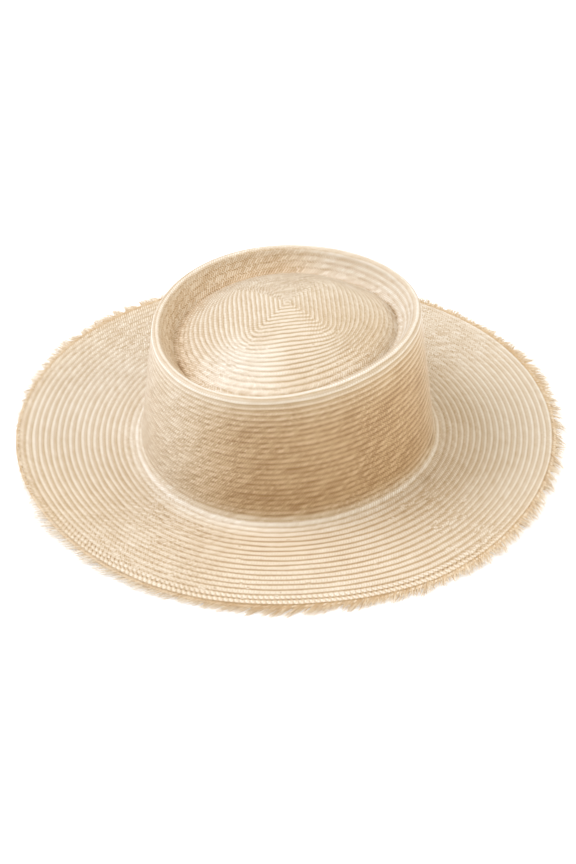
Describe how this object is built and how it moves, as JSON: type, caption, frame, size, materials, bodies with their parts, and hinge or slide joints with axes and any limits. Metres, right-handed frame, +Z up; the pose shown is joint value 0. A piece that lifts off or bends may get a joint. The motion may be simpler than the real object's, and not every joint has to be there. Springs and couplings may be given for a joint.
{
  "type": "straw hat",
  "caption": "Woven straw hat: a hollow telescope crown with a groove and low dome inside its rim, a wide flat brim and a frayed edge. It rests on its brim.",
  "frame": {"origin": "under the middle of the hat's outline, on the surface that it rests on", "axes": "+X to the front, the narrower and slightly higher end; +Y to the wearer's left; +Z up"},
  "size_m": [0.4034, 0.361, 0.1178],
  "materials": {
    "woven_straw": "natural cream and tan woven straw with a soft sheen",
    "frayed_straw": "loose natural straw ends, matt"
  },
  "bodies": {
    "root": {"crown": "woven_straw", "brim": "woven_straw", "fringe": "frayed_straw"}
  },
  "joints": []
}
